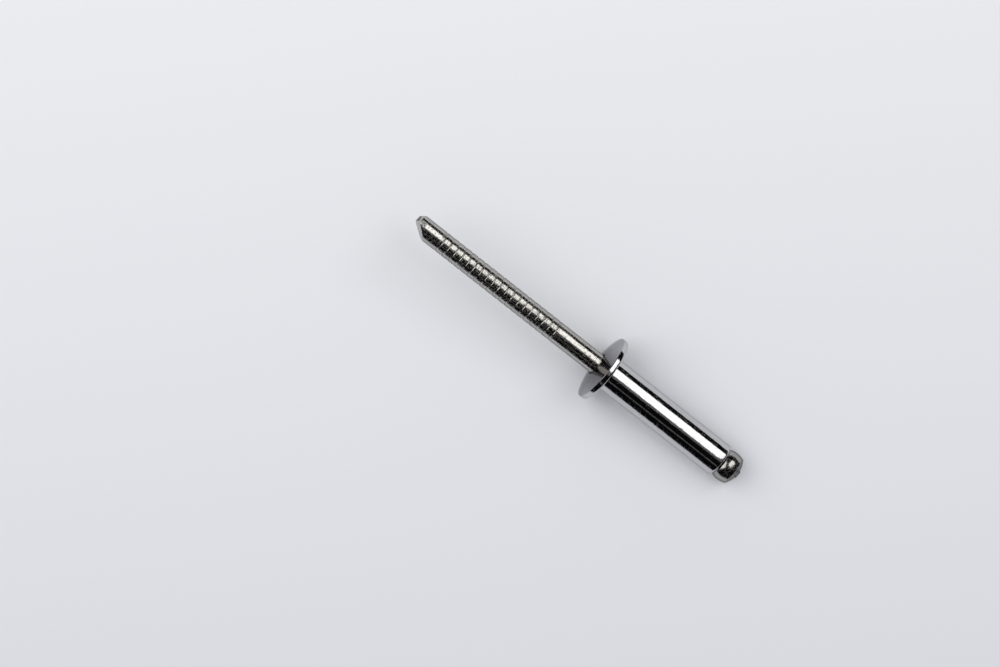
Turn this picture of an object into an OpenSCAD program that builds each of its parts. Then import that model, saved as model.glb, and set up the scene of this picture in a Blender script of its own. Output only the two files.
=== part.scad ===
// Open-end blind rivet with a domed head, 4.8 x 20 mm, as supplied: not yet set.
// Two pieces: a tubular body with its head turned in one, and the pull mandrel
// that runs through it. Millimetres, +Z up.
//
// The rivet lies on a level surface at z = 0 as it comes to rest: on the rim of
// the domed head and on the mandrel head or the end of the sleeve, whichever
// touches first, with the long tail raised. Each piece is modelled about the
// Z axis, with the underside of the domed head at z = 0, the sleeve above it and
// the tail below, and is then laid down.

/* [Sleeve] */
// Outer diameter of the sleeve
sleeve_d = 4.8; // [4.6:0.1:6.4]
// Length of the sleeve under the domed head
sleeve_len = 20; // [10:1:40]
// Radius of the rounded edge at the open end of the sleeve
end_round = 0.35; // [0.1:0.05:0.4]
// Radial gap between the mandrel and the bore of the sleeve
bore_gap = 0.06; // [0.02:0.01:0.12]

/* [Domed head] */
// Diameter of the domed head
head_d = 9.6; // [8.9:0.1:10.6]
// Thickness of the domed head at its rim
rim_t = 0.9; // [0.7:0.05:1.2]
// Radius of the rounded edge of the rim on the side of the sleeve
rim_round = 0.34; // [0.1:0.02:0.34]
// Radius of the rounded edge of the rim on the side of the dome
dome_round = 0.14; // [0.1:0.02:0.34]
// Height of the dome above the rim, as if it had no bore
dome_rise = 0.76; // [0.4:0.02:1.2]
// Radial width of the countersink where the mandrel leaves the dome
mouth_w = 0.14; // [0.05:0.01:0.3]
// Depth of the countersink
mouth_depth = 0.4; // [0.1:0.05:0.6]

/* [Mandrel shank] */
// Diameter of the mandrel shank
shank_d = 2.94; // [2.6:0.02:3]
// Length of the mandrel from the underside of the domed head to its cut tip
tail_len = 32.8; // [30:0.1:45]
// Diameter of the neck where the mandrel breaks when the rivet is set
neck_d = 2.1; // [1.5:0.1:2.4]
// Width of the flat bottom of the break neck
neck_w = 0.3; // [0.1:0.1:1]
// Distance from the seat of the mandrel head to the middle of the break neck
neck_from_seat = 2.4; // [1.5:0.1:4]

/* [Grip rings] */
// Number of ring grooves that the jaws of the setting tool grip
ring_count = 19; // [6:1:22]
// Distance from one ring groove to the next
ring_pitch = 1.08; // [0.8:0.02:1.2]
// Distance from the cut tip to the first ring groove
ring_from_tip = 4.25; // [3:0.05:6]
// Width of a ring groove at the surface
ring_w = 0.26; // [0.1:0.02:0.4]
// Depth of a ring groove
ring_depth = 0.09; // [0.04:0.01:0.12]

/* [Cut tip] */
// Angle between the axis and each of the two faces that pinch the tip
tip_angle = 38; // [25:1:50]
// Thickness of the blunt edge left between the two faces
tip_flat = 0.76; // [0.3:0.02:1.2]
// Distance from the axis to the middle of the blunt edge
tip_offset = 0.6; // [0:0.05:0.8]
// Radius of the rolled-over edge round the end of the tip
tip_round = 0.5; // [0.2:0.05:0.7]
// Turn of the blunt edge about the axis, before the rivet is laid down
tip_turn = -7.5; // [-20:0.5:20]

/* [Mandrel head] */
// Largest diameter of the barrel-shaped mandrel head
barrel_d = 4.44; // [4:0.02:4.7]
// Diameter of the face that seats on the end of the sleeve
seat_d = 3.5; // [3.3:0.1:3.8]
// Distance from the seat to the widest place of the barrel
barrel_rise = 1.15; // [0.8:0.05:1.4]
// Distance from the seat to the edge where the barrel ends
barrel_len = 2.6; // [2.4:0.1:3.1]
// Radius of the side of the barrel past its widest place
barrel_side_r = 4.2; // [3:0.1:6]
// Distance from the seat to the peak of the mandrel head
peak_rise = 3.2; // [2.8:0.05:4]
// Angle between each of the two pinched faces and a plane square to the axis
peak_angle = 27.5; // [20:0.5:40]
// Radius of the two pinched faces, across the way they slope
peak_side_r = 3.6; // [3.2:0.1:6]
// Turn of the ridge between the pinched faces about the axis, before laying down
peak_turn = 90; // [-90:0.5:90]
// Length of the torn burr along that ridge
burr_len = 1.1; // [0.4:0.1:1.6]
// Width of the burr
burr_w = 0.4; // [0.2:0.05:0.6]
// Height of the burr above the peak
burr_h = 0.08; // [0.02:0.02:0.2]

/* [Lying] */
// Turn of the whole rivet about its axis as it lies
roll = 3.5; // [-20:0.5:20]

/* [Hidden] */
$fn = 180;
eps = 0.01;

sleeve_r = sleeve_d / 2;
head_r = head_d / 2;
shank_r = shank_d / 2;
bore_r = shank_r + bore_gap;
mouth_r = bore_r + mouth_w;
seat_r = seat_d / 2;
barrel_r = barrel_d / 2;

// The sphere of the dome, which runs into the rounded edge of the rim
round_at_r = head_r - rim_round;
dome_round_at_r = head_r - dome_round;
dome_top = rim_t + dome_rise;
dome_r = (pow(dome_round_at_r, 2) + pow(dome_rise + dome_round, 2) - pow(dome_round, 2))
    / (2 * dome_rise);
dome_edge_r = dome_round_at_r * dome_r / (dome_r - dome_round);

// Height of the dome above the underside of the head, at radius r
function dome_at(r) = dome_top - dome_r + sqrt(pow(dome_r, 2) - pow(r, 2));

// The arc of the barrel between its seat and its widest place
barrel_drop = barrel_r - seat_r;
barrel_back_r = (pow(barrel_rise, 2) + pow(barrel_drop, 2)) / (2 * barrel_drop);
barrel_end_r = barrel_r - barrel_side_r
    + sqrt(pow(barrel_side_r, 2) - pow(barrel_len - barrel_rise, 2));

// The circle whose section cuts a ring groove of the given width and depth
ring_cut_r = (pow(ring_w / 2, 2) + pow(ring_depth, 2)) / (2 * ring_depth);
ring_cut_at = shank_r + ring_cut_r - ring_depth;

// Tilt of the axis when the rivet lies on the rim of its domed head and on a
// round of radius r, whose centre is c from the axis and u above the head
function tilt_on(u, c, r) =
    let (run = u + rim_round, drop = round_at_r - c)
        atan2(drop, run) + asin((rim_round - r) / norm([run, drop]));

rest_tilt = min(
    tilt_on(sleeve_len - end_round, sleeve_r - end_round, end_round),
    tilt_on(sleeve_len + barrel_rise, barrel_r - barrel_side_r, barrel_side_r)
);
axis_z = rim_round * (1 - sin(rest_tilt)) + round_at_r * cos(rest_tilt);

// How far the rivet reaches to each side of the middle of the head's underside
reach_head = (sleeve_len + peak_rise + burr_h) * cos(rest_tilt)
    + burr_w / 2 * sin(rest_tilt);
reach_tail = (tail_len - tip_round) * cos(rest_tilt)
    + (shank_r - tip_round) * sin(rest_tilt) + tip_round;

// Lays a piece down, with the middle of the rivet's outline over the origin
module laid() {
    translate([(reach_tail - reach_head) / 2, 0, axis_z])
        rotate([0, 90 + rest_tilt, 0])
            rotate([0, 0, roll])
                children();
}

// Half profile of the domed head, drawn with its underside along the first axis
module head_profile() {
    square([round_at_r, rim_t / 2]);
    translate([0, rim_round])
        square([head_r, rim_t - rim_round - dome_round]);
    translate([round_at_r, rim_round])
        circle(rim_round);
    translate([dome_round_at_r, rim_t - dome_round])
        circle(dome_round);
    intersection() {
        translate([0, dome_top - dome_r])
            circle(dome_r);
        translate([0, rim_t / 2])
            square([dome_edge_r, dome_top]);
    }
}

// Half profile of the sleeve, with its outer end edge rounded
module sleeve_profile() {
    translate([0, -eps])
        square([sleeve_r, sleeve_len - end_round + eps]);
    square([sleeve_r - end_round, sleeve_len]);
    translate([sleeve_r - end_round, sleeve_len - end_round])
        circle(end_round);
}

// The body of the rivet: sleeve and domed head in one, bored right through, with
// the countersink in the dome where the mandrel comes out
module rivet_body() {
    mouth_at = dome_at(mouth_r);
    color("silver")
        laid()
            difference() {
                rotate_extrude() {
                    mirror([0, 1])
                        head_profile();
                    sleeve_profile();
                }
                translate([0, 0, -dome_top - eps])
                    cylinder(h = dome_top + sleeve_len + 2 * eps, r = bore_r);
                translate([0, 0, -mouth_at])
                    cylinder(h = mouth_depth, r1 = mouth_r, r2 = bore_r);
                translate([0, 0, -dome_top - eps])
                    cylinder(h = dome_top - mouth_at + eps, r = mouth_r);
            }
}

// Half profile of the shank, with the edge of its tip rolled over
module shank_profile() {
    translate([0, tip_round - tail_len])
        square([shank_r, tail_len + sleeve_len - tip_round + eps]);
    translate([0, -tail_len])
        square([shank_r - tip_round, tip_round + eps]);
    translate([shank_r - tip_round, tip_round - tail_len])
        circle(tip_round);
}

// What the two cutting jaws leave of the wire's end: a wedge that opens from the
// blunt edge, which lies to one side of the axis
module pinched() {
    height = tail_len + sleeve_len + shank_d;
    spread = tip_flat / 2 + height * tan(tip_angle);
    translate([0, 0, -tail_len])
        rotate([90, 0, 90 + tip_turn])
            translate([tip_offset, 0, -shank_d])
                linear_extrude(2 * shank_d)
                    polygon([
                        [-tip_flat / 2, 0],
                        [tip_flat / 2, 0],
                        [spread, height],
                        [-spread, height]
                    ]);
}

// The ring grooves, rounded at the bottom
module grip_rings() {
    for (i = [0 : ring_count - 1])
        translate([0, 0, ring_from_tip - tail_len + i * ring_pitch])
            rotate_extrude()
                translate([ring_cut_at, 0])
                    circle(ring_cut_r);
}

// The notch inside the sleeve where the mandrel breaks, with flanks at 45 degrees
module break_neck() {
    depth = shank_r - neck_d / 2;
    translate([0, 0, sleeve_len - neck_from_seat])
        rotate_extrude()
            polygon([
                [neck_d / 2, -neck_w / 2],
                [shank_r + eps, -neck_w / 2 - depth - eps],
                [shank_r + eps, neck_w / 2 + depth + eps],
                [neck_d / 2, neck_w / 2]
            ]);
}

// Half profile of the mandrel head above its seat: two arcs that meet at the
// widest place, then a straight side up to the peak
module barrel_profile() {
    intersection() {
        translate([barrel_r - barrel_back_r, barrel_rise])
            circle(barrel_back_r);
        square([barrel_d, barrel_rise]);
    }
    intersection() {
        translate([barrel_r - barrel_side_r, barrel_rise])
            circle(barrel_side_r);
        translate([0, barrel_rise])
            square([barrel_d, barrel_len - barrel_rise]);
    }
    translate([0, barrel_len])
        square([barrel_end_r, peak_rise - barrel_len]);
}

// The round that one jaw leaves, which slopes down from the ridge to side s
module jaw_round(s) {
    rotate([0, 0, peak_turn])
        translate([0, 0, peak_rise])
            rotate([s * peak_angle, 0, 0])
                translate([0, 0, -peak_side_r])
                    rotate([90, 0, 0])
                        cylinder(h = 4 * barrel_d, r = peak_side_r, center = true);
}

// The mandrel head: a barrel pinched to a ridge by two rounded jaws, with the
// torn burr on the ridge
module mandrel_head() {
    intersection() {
        rotate_extrude()
            barrel_profile();
        jaw_round(1);
        jaw_round(-1);
    }
    rotate([0, 0, 90 + peak_turn])
        translate([-burr_w / 2, -burr_len / 2, barrel_rise])
            cube([burr_w, burr_len, peak_rise - barrel_rise + burr_h]);
}

// The pull mandrel, one piece from its pinched tip to its upset head
module mandrel() {
    color("gainsboro")
        laid() {
            difference() {
                intersection() {
                    rotate_extrude()
                        shank_profile();
                    pinched();
                }
                grip_rings();
                break_neck();
            }
            translate([0, 0, sleeve_len])
                mandrel_head();
        }
}

rivet_body();
mandrel();
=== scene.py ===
import math
import bpy
from mathutils import Matrix, Vector


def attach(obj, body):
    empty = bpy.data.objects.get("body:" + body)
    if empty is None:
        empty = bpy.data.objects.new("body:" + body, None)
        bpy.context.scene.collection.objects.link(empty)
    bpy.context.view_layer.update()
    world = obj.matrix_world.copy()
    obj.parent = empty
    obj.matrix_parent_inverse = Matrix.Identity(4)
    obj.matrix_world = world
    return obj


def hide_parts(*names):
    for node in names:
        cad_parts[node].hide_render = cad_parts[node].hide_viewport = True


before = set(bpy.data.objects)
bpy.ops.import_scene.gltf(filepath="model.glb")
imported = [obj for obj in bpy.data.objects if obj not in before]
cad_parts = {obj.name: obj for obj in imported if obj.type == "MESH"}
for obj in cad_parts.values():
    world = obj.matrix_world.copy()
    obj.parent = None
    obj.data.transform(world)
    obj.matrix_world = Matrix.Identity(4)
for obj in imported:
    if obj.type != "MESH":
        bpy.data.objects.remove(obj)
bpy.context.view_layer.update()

bpy.ops.object.select_all(action="DESELECT")


# SLEEVE AND DOMED HEAD
# The tubular body of the rivet is stainless steel, cold formed in one piece with its domed
# head and tumbled bright, so it mirrors its surroundings. The mandrel runs through its bore.
sleeve_r = 2.4
sleeve_length = 20.0
sleeve_end_round = 0.35
seat_fillet = 0.05
bore_r = 1.53
rim_r = 4.8
rim_thickness = 0.9
rim_round = 0.34
dome_round = 0.14
dome_rise = 0.76
mouth_r = 1.67
mouth_depth = 0.4
steps_round = 192
mm = 0.001


def line_to(profile, end, count):
    """Adds points on a straight run from the profile's last point."""
    start = profile[-1]
    for i in range(1, count + 1):
        profile.append((start[0] + (end[0] - start[0]) * i / count,
                        start[1] + (end[1] - start[1]) * i / count))


def arc_round(profile, middle, radius, start, end, count):
    """Adds points on an arc that starts at the profile's last point, angles in degrees."""
    for i in range(1, count + 1):
        turn = math.radians(start + (end - start) * i / count)
        profile.append((middle[0] + radius * math.cos(turn), middle[1] + radius * math.sin(turn)))


def turn_on_lathe(name, profile):
    """Draws a half profile of (radius, height) in millimetres and spins it about Z.

    The underside of the domed head is at z = 0, the sleeve above it and the tail below.
    """
    bpy.ops.mesh.primitive_plane_add(size=1, location=(0, 0, 0))
    piece = bpy.context.object
    piece.name = name
    piece.data.name = name
    bpy.ops.object.mode_set(mode="EDIT")
    bpy.ops.mesh.select_all(action="SELECT")
    bpy.ops.mesh.merge(type="CENTER")
    bpy.ops.transform.translate(value=(profile[0][0], 0, profile[0][1]))
    for before, after in zip(profile, profile[1:]):
        bpy.ops.mesh.extrude_vertices_move(
            TRANSFORM_OT_translate={"value": (after[0] - before[0], 0, after[1] - before[1])})
    bpy.ops.mesh.select_all(action="SELECT")
    bpy.ops.mesh.remove_doubles(threshold=1e-5)
    bpy.ops.mesh.select_all(action="SELECT")
    bpy.ops.mesh.spin(steps=steps_round, angle=2 * math.pi, center=(0, 0, 0), axis=(0, 0, 1))
    bpy.ops.mesh.select_all(action="SELECT")
    bpy.ops.mesh.remove_doubles(threshold=1e-4)
    bpy.ops.mesh.normals_make_consistent(inside=False)
    bpy.ops.object.mode_set(mode="OBJECT")
    return piece


round_at_r = rim_r - rim_round
dome_round_at_r = rim_r - dome_round
dome_round_at = dome_round - rim_thickness
dome_r = (dome_round_at_r ** 2 + (dome_rise + dome_round) ** 2 - dome_round ** 2) / (2 * dome_rise)
dome_middle = dome_r - rim_thickness - dome_rise
dome_edge_turn = math.degrees(math.acos(dome_round_at_r / (dome_r - dome_round)))
mouth_turn = math.degrees(math.acos(mouth_r / dome_r))
mouth_height = dome_middle - math.sqrt(dome_r ** 2 - mouth_r ** 2)

sleeve_profile = [(bore_r, sleeve_length)]
line_to(sleeve_profile, (sleeve_r - sleeve_end_round, sleeve_length), 2)
arc_round(sleeve_profile, (sleeve_r - sleeve_end_round, sleeve_length - sleeve_end_round),
          sleeve_end_round, 90, 0, 12)
line_to(sleeve_profile, (sleeve_r, seat_fillet), 24)
arc_round(sleeve_profile, (sleeve_r + seat_fillet, seat_fillet), seat_fillet, 180, 270, 4)
line_to(sleeve_profile, (round_at_r, 0), 4)
arc_round(sleeve_profile, (round_at_r, -rim_round), rim_round, 90, 0, 12)
line_to(sleeve_profile, (rim_r, dome_round_at), 2)
arc_round(sleeve_profile, (dome_round_at_r, dome_round_at), dome_round, 0, -dome_edge_turn, 8)
arc_round(sleeve_profile, (0, dome_middle), dome_r, -dome_edge_turn, -mouth_turn, 24)
line_to(sleeve_profile, (bore_r, mouth_height + mouth_depth), 2)
line_to(sleeve_profile, (bore_r, sleeve_length), 3)
sleeve = turn_on_lathe("blind_rivet_sleeve", sleeve_profile)

# The rivet lies on its rounded rim and on the barrel side of its mandrel head, so these
# three sizes of that head are needed here.
head_r = 2.22
head_rise = 1.15
head_side_r = 4.2
rest_run = sleeve_length + head_rise + rim_round
rest_drop = round_at_r - (head_r - head_side_r)
rest_tilt = (math.atan2(rest_drop, rest_run)
             + math.asin((rim_round - head_side_r) / math.hypot(rest_run, rest_drop)))
axis_height = rim_round * (1 - math.sin(rest_tilt)) + round_at_r * math.cos(rest_tilt)
outline_shift = 4.7739
lie = (Matrix.Translation((outline_shift * mm, 0, axis_height * mm))
       @ Matrix.Rotation(math.pi / 2 + rest_tilt, 4, "Y") @ Matrix.Scale(mm, 4))


def only(piece):
    """Selects one piece alone and makes it the one that operators act on."""
    bpy.ops.object.select_all(action="DESELECT")
    piece.select_set(True)
    bpy.context.view_layer.objects.active = piece


def lay_down(piece):
    """Lays an upright piece where the rivet rests, with its place in its mesh."""
    only(piece)
    piece.matrix_world = lie
    bpy.ops.object.transform_apply(location=True, rotation=True, scale=True)
    bpy.ops.object.shade_smooth_by_angle(angle=math.radians(30))
    piece.select_set(False)


class Wire:
    """One output of a shader node, with the sums and products that a maker writes."""

    def __init__(self, finish, socket):
        self.finish = finish
        self.socket = socket

    def maths(self, operation, *values):
        """One Math node on these values."""
        return self.finish.node("ShaderNodeMath", {"operation": operation}, dict(enumerate(values)))

    def __abs__(self):
        return self.maths("ABSOLUTE", self)

    def __add__(self, other):
        return self.maths("ADD", self, other)

    def __radd__(self, other):
        return self.maths("ADD", other, self)

    def __sub__(self, other):
        return self.maths("SUBTRACT", self, other)

    def __rsub__(self, other):
        return self.maths("SUBTRACT", other, self)

    def __mul__(self, other):
        return self.maths("MULTIPLY", self, other)

    def __rmul__(self, other):
        return self.maths("MULTIPLY", other, self)

    def __gt__(self, other):
        return self.maths("GREATER_THAN", self, other)

    def __lt__(self, other):
        return self.maths("LESS_THAN", self, other)


class Finish:
    """A finish under construction: its material, its nodes and its one shader."""

    def __init__(self, name):
        self.material = bpy.data.materials.new(name)
        self.material.use_nodes = True
        self.tree = self.material.node_tree
        self.tree.nodes.clear()

    def node(self, kind, settings=None, sockets=None, out=0):
        """Adds one node: first its settings, then the values or wires of its sockets."""
        made = self.tree.nodes.new(kind)
        for name, value in (settings or {}).items():
            if name == "stops":
                while len(made.color_ramp.elements) < len(value):
                    made.color_ramp.elements.new(0.5)
                for element, (place, shade) in zip(made.color_ramp.elements, value):
                    element.position = place
                    element.color = (shade, shade, shade, 1)
            else:
                setattr(made, name, value)
        for name, value in (sockets or {}).items():
            if isinstance(value, Wire):
                self.tree.links.new(value.socket, made.inputs[name])
            else:
                made.inputs[name].default_value = value
        return Wire(self, made.outputs[out]) if len(made.outputs) else None

    def place(self):
        """Place on the piece as it lies, in metres."""
        return self.node("ShaderNodeTexCoord", out="Object")

    def upright(self):
        """Place on the upright piece in millimetres, with its own axis along Z."""
        return self.node("ShaderNodeMapping", {"vector_type": "TEXTURE"}, {
            "Vector": self.place(),
            "Location": lie.translation,
            "Rotation": (0, math.pi / 2 + rest_tilt, 0),
            "Scale": (mm, mm, mm)})

    def along(self, axis, place):
        """How far a place lies along X, Y or Z."""
        return self.node("ShaderNodeSeparateXYZ", None, {"Vector": place}, out=axis)

    def grain(self, place, scale, detail, stretch=(1, 1, 1)):
        """Noise at this scale per millimetre, stretched along the piece's own axes."""
        stretched = self.node("ShaderNodeMapping", None, {"Vector": place, "Scale": stretch})
        return self.node("ShaderNodeTexNoise", None, {
            "Vector": stretched, "Scale": scale, "Detail": detail, "Roughness": 0.6})

    def ramp(self, value, stops):
        """Turns a value into a grey by the ramp's stops."""
        return self.node("ShaderNodeValToRGB", {"stops": stops}, {"Fac": value})

    def blend(self, mask, first, second):
        """Mixes two colours by a mask. The colour sockets of the node go by number."""
        return self.node("ShaderNodeMix", {"data_type": "RGBA"},
                         {0: mask, 6: first, 7: second}, out=2)

    def metal(self, shade, roughness, height, edge_tint):
        """Ends the finish in one metal shader with its bump, heights in millimetres."""
        bump = self.node("ShaderNodeBump", None,
                         {"Height": height, "Strength": 1.0, "Distance": mm})
        shader = self.node("ShaderNodeBsdfPrincipled", None, {
            "Base Color": shade,
            "Metallic": 1.0,
            "Roughness": roughness,
            "Specular Tint": (edge_tint, edge_tint, edge_tint, 1.0),
            "Normal": bump})
        self.node("ShaderNodeOutputMaterial", None, {"Surface": shader})
        return self.material


# Below this height the dome's colour is painted darker, a painted shade for the dark surroundings
# it would mirror.
painted_shade_below = -0.78


def tumbled_steel():
    """Bright sleeve steel: shallow tumbling dents, sparse pits, a stain, and painted shade that
    darkens the dome where it would mirror dark surroundings.
    """
    finish = Finish("tumbled_sleeve_steel")
    place = finish.upright()
    stain = finish.grain(place, 0.55, 3.0)
    dents = finish.grain(place, 3.2, 3.0, (1, 1, 0.6))
    fine = finish.grain(place, 9.0, 2.0)
    pits = finish.ramp(finish.grain(place, 6.5, 2.0), [(0.62, 0.0), (0.72, 1.0)])
    across = finish.along("Y", place)
    # The dome's painted shade is darkest in the middle and on one side, lighter toward its ends,
    # with a random spread.
    on_dome = finish.along("Z", place) < painted_shade_below
    painted_shade_spread = finish.ramp(abs(across) * 0.19 + across * 0.035 + stain * 0.3,
                       [(0.28, 0.0), (0.92, 1.0)])
    bright = finish.blend(stain, (0.57, 0.57, 0.575, 1), (0.64, 0.64, 0.645, 1))
    dome_painted_shade = finish.blend(painted_shade_spread, (0.19, 0.185, 0.19, 1), (0.46, 0.46, 0.49, 1))
    height = dents * 0.006 + fine * 0.0022 - pits * 0.006
    return finish.metal(finish.blend(on_dome, bright, dome_painted_shade), 0.05 + fine * 0.05, height, 0.72)


sleeve.data.materials.append(tumbled_steel())
lay_down(sleeve)
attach(sleeve, "root")
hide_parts("rivet_body")


# MANDREL
# The pull mandrel is drawn steel wire, a shade duller and warmer than the sleeve. Its rings
# are rolled in, its tip is pinched off between two cutting jaws, and its head is upset in a
# die, seats on the end of the sleeve and is pinched to a ridge.
shank_r = 1.47
tail_length = 32.8
shank_into_head = 0.4
tip_round = 0.5
groove_count = 19
groove_pitch = 1.08
groove_from_tip = 4.25
groove_width = 0.26
groove_depth = 0.09
neck_r = 1.05
neck_width = 0.3
neck_from_seat = 2.4
seat_r = 1.75
head_length = 2.6
head_peak = 3.2
roll = math.radians(3.5)

groove_r = ((groove_width / 2) ** 2 + groove_depth ** 2) / (2 * groove_depth)
groove_middle_r = shank_r + groove_r - groove_depth
groove_half_turn = math.degrees(math.asin(groove_width / 2 / groove_r))
neck_height = sleeve_length - neck_from_seat
neck_depth = shank_r - neck_r
shank_top = sleeve_length + shank_into_head

shank_profile = [(0, -tail_length)]
line_to(shank_profile, (shank_r - tip_round, -tail_length), 4)
arc_round(shank_profile, (shank_r - tip_round, tip_round - tail_length), tip_round, -90, 0, 12)
for i in range(groove_count):
    groove_height = groove_from_tip - tail_length + i * groove_pitch
    line_to(shank_profile, (shank_r, groove_height - groove_width / 2), 24 if i == 0 else 4)
    arc_round(shank_profile, (groove_middle_r, groove_height), groove_r,
              180 + groove_half_turn, 180 - groove_half_turn, 8)
line_to(shank_profile, (shank_r, neck_height - neck_width / 2 - neck_depth), 30)
shank_profile += [
    (neck_r, neck_height - neck_width / 2),
    (neck_r, neck_height + neck_width / 2),
    (shank_r, neck_height + neck_width / 2 + neck_depth),
    (shank_r, shank_top),
    (0, shank_top)]
mandrel = turn_on_lathe("blind_rivet_mandrel", shank_profile)

# The head is turned a little too tall, and the jaws then pinch it down to its ridge.
ridge_height = sleeve_length + head_peak
blank_top = ridge_height + 0.05
head_middle = sleeve_length + head_rise
head_drop = head_r - seat_r
head_back_r = (head_rise ** 2 + head_drop ** 2) / (2 * head_drop)
head_back_turn = math.degrees(math.asin(head_rise / head_back_r))
head_side_turn = math.degrees(math.asin((head_length - head_rise) / head_side_r))

head_profile = [(0, sleeve_length)]
line_to(head_profile, (seat_r, sleeve_length), 3)
arc_round(head_profile, (head_r - head_back_r, head_middle), head_back_r, -head_back_turn, 0, 14)
arc_round(head_profile, (head_r - head_side_r, head_middle), head_side_r, 0, head_side_turn, 14)
line_to(head_profile, (head_profile[-1][0], blank_top), 2)
line_to(head_profile, (0, blank_top), 4)
upset_head = turn_on_lathe("upset_head", head_profile)


def press_with(piece, tool, operation):
    """Shapes a piece with a tool by a Boolean operation, and takes the tool away."""
    only(piece)
    press = piece.modifiers.new("press", "BOOLEAN")
    press.operation = operation
    press.solver = "EXACT"
    press.object = tool
    bpy.ops.object.modifier_apply(modifier="press")
    only(tool)
    bpy.ops.object.delete()


jaw_r = 3.6
jaw_width = 18
jaw_steps = 288
jaw_slope = math.radians(27.5)
for side in (1, -1):
    bpy.ops.mesh.primitive_cylinder_add(vertices=jaw_steps, radius=jaw_r, depth=jaw_width)
    jaw = bpy.context.object
    jaw.matrix_world = (Matrix.Rotation(math.pi / 2 + roll, 4, "Z")
                        @ Matrix.Translation((0, 0, ridge_height))
                        @ Matrix.Rotation(side * jaw_slope, 4, "X")
                        @ Matrix.Translation((0, 0, -jaw_r))
                        @ Matrix.Rotation(math.pi / 2, 4, "X"))
    press_with(upset_head, jaw, "INTERSECT")

# The pinch leaves slivers where the two jaws meet, and these are welded away.
weld_gap = 0.004
sliver = 0.002
only(upset_head)
bpy.ops.object.mode_set(mode="EDIT")
bpy.ops.mesh.select_all(action="SELECT")
bpy.ops.mesh.remove_doubles(threshold=weld_gap)
bpy.ops.mesh.select_all(action="SELECT")
bpy.ops.mesh.dissolve_degenerate(threshold=sliver)
bpy.ops.object.mode_set(mode="OBJECT")

# The jaws tear up a burr along the ridge and a ragged scab on the face that lies upwards.
burr_size = (0.34, 1.0, 0.36)
burr_middle = Vector((0, 0, ridge_height - 0.15))
scab_size = (1.15, 0.85, 0.16)
scab_out = 0.85
scab_across = 0.12
scab_sunk = 0.03
scab_middle = Vector((-scab_out, scab_across,
                      ridge_height - scab_out * math.tan(jaw_slope) - scab_sunk))
raggedness = 0.05
for size, place, slope in ((burr_size, burr_middle, 0), (scab_size, scab_middle, -jaw_slope)):
    bpy.ops.mesh.primitive_cube_add(size=1, location=place)
    scrap = bpy.context.object
    scrap.scale = size
    scrap.rotation_euler = (0, slope, roll)
    only(scrap)
    bpy.ops.object.transform_apply(location=True, rotation=True, scale=True)
    bpy.ops.object.mode_set(mode="EDIT")
    bpy.ops.mesh.select_all(action="SELECT")
    bpy.ops.mesh.subdivide(number_cuts=5)
    bpy.ops.transform.vertex_random(offset=raggedness, uniform=1.0, normal=0.0, seed=4)
    bpy.ops.object.mode_set(mode="OBJECT")
    only(upset_head)
    scrap.select_set(True)
    bpy.ops.object.join()

# The jaws leave two flat faces at the tip, a wedge that stands to one side.
tip_slope = math.radians(38)
tip_edge = 0.76
tip_offset = 0.6
tip_turn = math.radians(-4)
across_tip = Vector((-math.sin(tip_turn), math.cos(tip_turn), 0))
for side in (-1, 1):
    only(mandrel)
    bpy.ops.object.mode_set(mode="EDIT")
    bpy.ops.mesh.select_all(action="SELECT")
    bpy.ops.mesh.bisect(
        plane_co=across_tip * (tip_offset + side * tip_edge / 2) - Vector((0, 0, tail_length)),
        plane_no=side * across_tip * math.cos(tip_slope) - Vector((0, 0, math.sin(tip_slope))),
        use_fill=True, clear_outer=True)
    bpy.ops.object.mode_set(mode="OBJECT")

# The jaws also press a small square nick into the near end of the blunt edge.
nick_size = (0.44, 0.34, 0.34)
nick_turn = math.radians(17)
nick_height = 0.72 - tail_length
nick_place = Vector((-math.cos(nick_turn), math.sin(nick_turn), 0)) * shank_r
nick_place.z = nick_height
bpy.ops.mesh.primitive_cube_add(size=1)
nick = bpy.context.object
nick.scale = nick_size
nick.rotation_euler = (0, 0, -nick_turn)
nick.location = nick_place
press_with(mandrel, nick, "DIFFERENCE")

only(mandrel)
upset_head.select_set(True)
bpy.ops.object.join()

rings_low = groove_from_tip - tail_length - 0.4
rings_high = -8.8


def drawn_steel():
    """Drawn wire: fine rings round the axis, stronger on the lands between the grooves."""
    finish = Finish("drawn_mandrel_steel")
    place = finish.upright()
    height_up = finish.along("Z", place)
    grooved = (height_up > rings_low) * (height_up < rings_high)
    rings = finish.grain(place, 1.0, 3.0, (0.25, 0.25, 5.5))
    stain = finish.grain(place, 0.8, 3.0)
    dents = finish.grain(place, 4.0, 4.0)
    shade = finish.blend(stain, (0.47, 0.46, 0.435, 1), (0.57, 0.56, 0.535, 1))
    height = rings * (0.004 + grooved * 0.036) + dents * 0.008
    scuffs = finish.ramp(finish.grain(place, 7.0, 3.0, (1, 1, 0.5)), [(0.54, 0.0), (0.60, 1.0)])
    return finish.metal(shade, 0.10 + dents * 0.08 + scuffs * 0.38, height, 0.28)


def upset_steel():
    """Steel upset in a die: still bright, with a coarse grain and scuffs that dull it."""
    finish = Finish("upset_head_steel")
    place = finish.upright()
    stain = finish.grain(place, 0.9, 3.0)
    dents = finish.grain(place, 4.0, 4.0)
    shade = finish.blend(stain, (0.37, 0.36, 0.345, 1), (0.50, 0.49, 0.475, 1))
    scuffs = finish.ramp(finish.grain(place, 6.0, 3.0), [(0.55, 0.0), (0.62, 1.0)])
    return finish.metal(shade, 0.09 + dents * 0.08 + scuffs * 0.36, dents * 0.013, 0.25)


torn_tint = (1.0, 0.98, 0.96)


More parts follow.
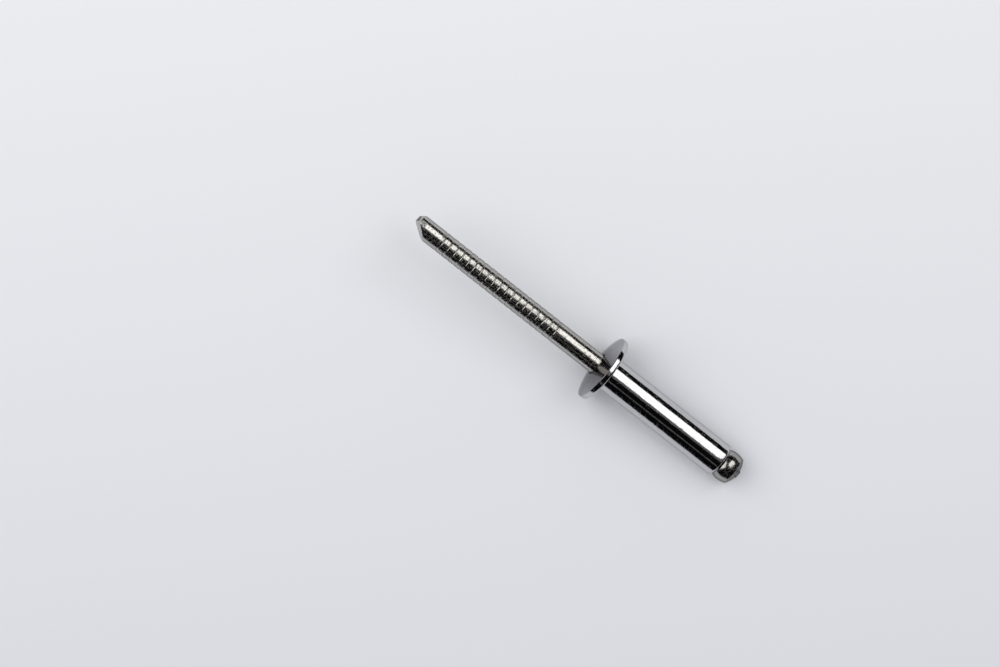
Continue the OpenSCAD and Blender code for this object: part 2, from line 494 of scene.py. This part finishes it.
def torn_steel(name, low, high):
    """Steel torn by the cutting jaws, with wavy tear marks; the greys low and high are given,
    darker on the head as painted shade and lighter on the tip as painted light.
    """
    finish = Finish(name)
    place = finish.upright()
    tears = finish.node("ShaderNodeTexWave", {"bands_direction": "Y"}, {
        "Vector": place, "Scale": 1.6, "Distortion": 5.0, "Detail": 3.0, "Detail Scale": 1.5})
    crumbs = finish.grain(place, 5.0, 4.0)
    patches = finish.ramp(crumbs, [(0.35, 0.0), (0.65, 1.0)])
    shade = finish.blend(patches, [low * tint for tint in torn_tint] + [1],
                         [high * tint for tint in torn_tint] + [1])
    return finish.metal(shade, 0.28 + crumbs * 0.2, tears * 0.02 + crumbs * 0.06, 0.7)


mandrel.data.materials.append(drawn_steel())
mandrel.data.materials.append(upset_steel())
# The same torn steel twice: its torn faces on the head are painted darker as painted shade, those
# on the tip lighter as painted light; tears and crumbs are real.
mandrel.data.materials.append(torn_steel("torn_head_steel_painted_shade", 0.12, 0.38))
mandrel.data.materials.append(torn_steel("torn_tip_steel_painted_light", 0.46, 0.82))
upset, painted_shade_torn_head, painted_light_torn_tip = 1, 2, 3
pinched_above = sleeve_length + 1.7
wedge_below = 3 - tail_length
for face in mandrel.data.polygons:
    on_slope = abs(face.normal.z + math.sin(tip_slope)) < 0.01
    on_wedge = abs(abs(face.normal.dot(across_tip)) - math.cos(tip_slope)) < 0.01
    cut_off = face.center.z < wedge_below and on_slope and on_wedge
    from_nick = face.center - nick_place
    pressed = abs(from_nick.y) < 0.34 and -0.6 < from_nick.z < 0.42 and face.center.x < 0
    if face.center.z > pinched_above and face.normal.z > 0.6:
        face.material_index = painted_shade_torn_head
    elif face.center.z > sleeve_length:
        face.material_index = upset
    elif pressed or cut_off:
        face.material_index = painted_light_torn_tip
lay_down(mandrel)
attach(mandrel, "root")
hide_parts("mandrel")


# FLOOR
# A plain pale sheet lies under the rivet, matt and without a seam, and reaches well past
# the frame. Its colour drifts slowly across it, from darker to lighter, as a painted
# fall-off of the light.
# The sheet's colour is painted darker toward one side and lighter toward the other, a painted
# fall-off of light.
painted_falloff_way = (-0.616, 0.788, 0.0)
painted_falloff_per_metre = 9.0
bpy.ops.mesh.primitive_plane_add(size=8, location=(0, 0, 0))
floor = bpy.context.object
floor.name = "pale_sheet"
sheet = Finish("matt_pale_sheet")
painted_falloff = sheet.node("ShaderNodeVectorMath", {"operation": "DOT_PRODUCT"},
                        {0: sheet.place(), 1: painted_falloff_way}, out="Value")
painted_falloff_shade = sheet.blend(painted_falloff * painted_falloff_per_metre + 0.5,
                          (0.775, 0.785, 0.835, 1), (0.885, 0.895, 0.925, 1))
sheet_shader = sheet.node("ShaderNodeBsdfPrincipled", None, {
    "Base Color": painted_falloff_shade,
    "Roughness": 0.7,
    "Specular IOR Level": 0.2})
sheet.node("ShaderNodeOutputMaterial", None, {"Surface": sheet_shader})
floor.data.materials.append(sheet.material)


# CAMERA AND LIGHT
# The camera looks almost straight down, a little from the side of the tip. Two large
# softboxes hang left and right of it, a dim skirt and a small reflector light the edges,
# and the studio behind them mirrors as dark.
camera_tilt = math.radians(5.33)
camera_turn = math.radians(38.06)
camera_distance = 0.7
aim = Vector((-0.00956, -0.00479, 0.005))
toward = Vector((-math.sin(camera_tilt), 0, math.cos(camera_tilt)))
length_way = Vector((math.cos(camera_tilt), 0, math.sin(camera_tilt)))
across_way = toward.cross(length_way)
right = math.cos(camera_turn) * length_way + math.sin(camera_turn) * across_way
up = math.cos(camera_turn) * across_way - math.sin(camera_turn) * length_way

bpy.ops.object.camera_add()
camera = bpy.context.object
camera.name = "camera"
camera.data.lens = 188.8
camera.data.sensor_width = 36
camera.data.clip_start = 0.01
camera.data.clip_end = 20
camera.matrix_world = (Matrix.Translation(aim + camera_distance * toward)
                       @ Matrix((right, up, toward)).transposed().to_4x4())
bpy.context.scene.camera = camera

lamp_distance = 0.6
lamp_tint = (1.0, 0.995, 0.98)


def hang_lamp(name, way, slant, wide, tall, glow, turned=0):
    """Hangs a flat lamp square to way. wide and tall are its reach, in lamp distances."""
    bpy.ops.object.light_add(type="AREA")
    lamp = bpy.context.object
    lamp.name = name
    lamp.data.shape = "RECTANGLE"
    lamp.data.size = (wide[1] - wide[0]) * lamp_distance
    lamp.data.size_y = (tall[1] - tall[0]) * lamp_distance
    lamp.data.energy = glow * math.pi * lamp.data.size * lamp.data.size_y
    lamp.data.color = lamp_tint
    rise = way.cross(slant)
    if rise.dot(up) < 0:
        slant = -slant
        wide = (-wide[1], -wide[0])
    slant = Matrix.Rotation(math.radians(turned), 3, way) @ slant
    rise = way.cross(slant)
    middle = lamp_distance * (way + (wide[0] + wide[1]) / 2 * slant
                              + (tall[0] + tall[1]) / 2 * rise)
    lamp.matrix_world = (Matrix.Translation(middle)
                         @ Matrix((slant, rise, way)).transposed().to_4x4())


right_way = (toward + right).normalized()
right_slant = (right - toward).normalized()
left_way = (toward - right).normalized()
left_slant = (-right - toward).normalized()
low_way = (0.67 * toward - 0.10 * right - 0.73 * up).normalized()
low_slant = low_way.cross(across_way).normalized()
hang_lamp("softbox_right", right_way, right_slant, (-0.385, 0.45), (0.04, 0.64), 1.85, turned=43)
hang_lamp("softbox_left", left_way, left_slant, (-0.65, 0.225), (-0.18, 0.75), 1.7)
hang_lamp("softbox_skirt", right_way, right_slant, (-0.60, -0.20), (-0.46, -0.181), 0.13)
hang_lamp("reflector_edge", low_way, low_slant, (-0.2, 0.2), (-0.05, 0.05), 0.11)

world = bpy.data.worlds.new("studio")
bpy.context.scene.world = world
world.use_nodes = True
air = world.node_tree
air.nodes.clear()


def plain_light(shade):
    """An even light from all round."""
    made = air.nodes.new("ShaderNodeBackground")
    made.inputs["Color"].default_value = shade
    return made.outputs[0]


def swap_for(ray_kind, other, light):
    """Lets one kind of ray see light, and all the rest the other."""
    mixed = air.nodes.new("ShaderNodeMixShader")
    for i, socket in enumerate((ray.outputs[ray_kind], other, light)):
        air.links.new(socket, mixed.inputs[i])
    return mixed.outputs[0]


ray = air.nodes.new("ShaderNodeLightPath")
dark = plain_light((0.003, 0.003, 0.0035, 1))
fill = plain_light((0.50, 0.50, 0.51, 1))
backdrop = plain_light((0.74, 0.75, 0.78, 1))
studio_air = air.nodes.new("ShaderNodeOutputWorld")
air.links.new(swap_for("Is Camera Ray", swap_for("Is Diffuse Ray", dark, fill), backdrop),
              studio_air.inputs["Surface"])
bpy.context.scene.view_settings.view_transform = "Standard"
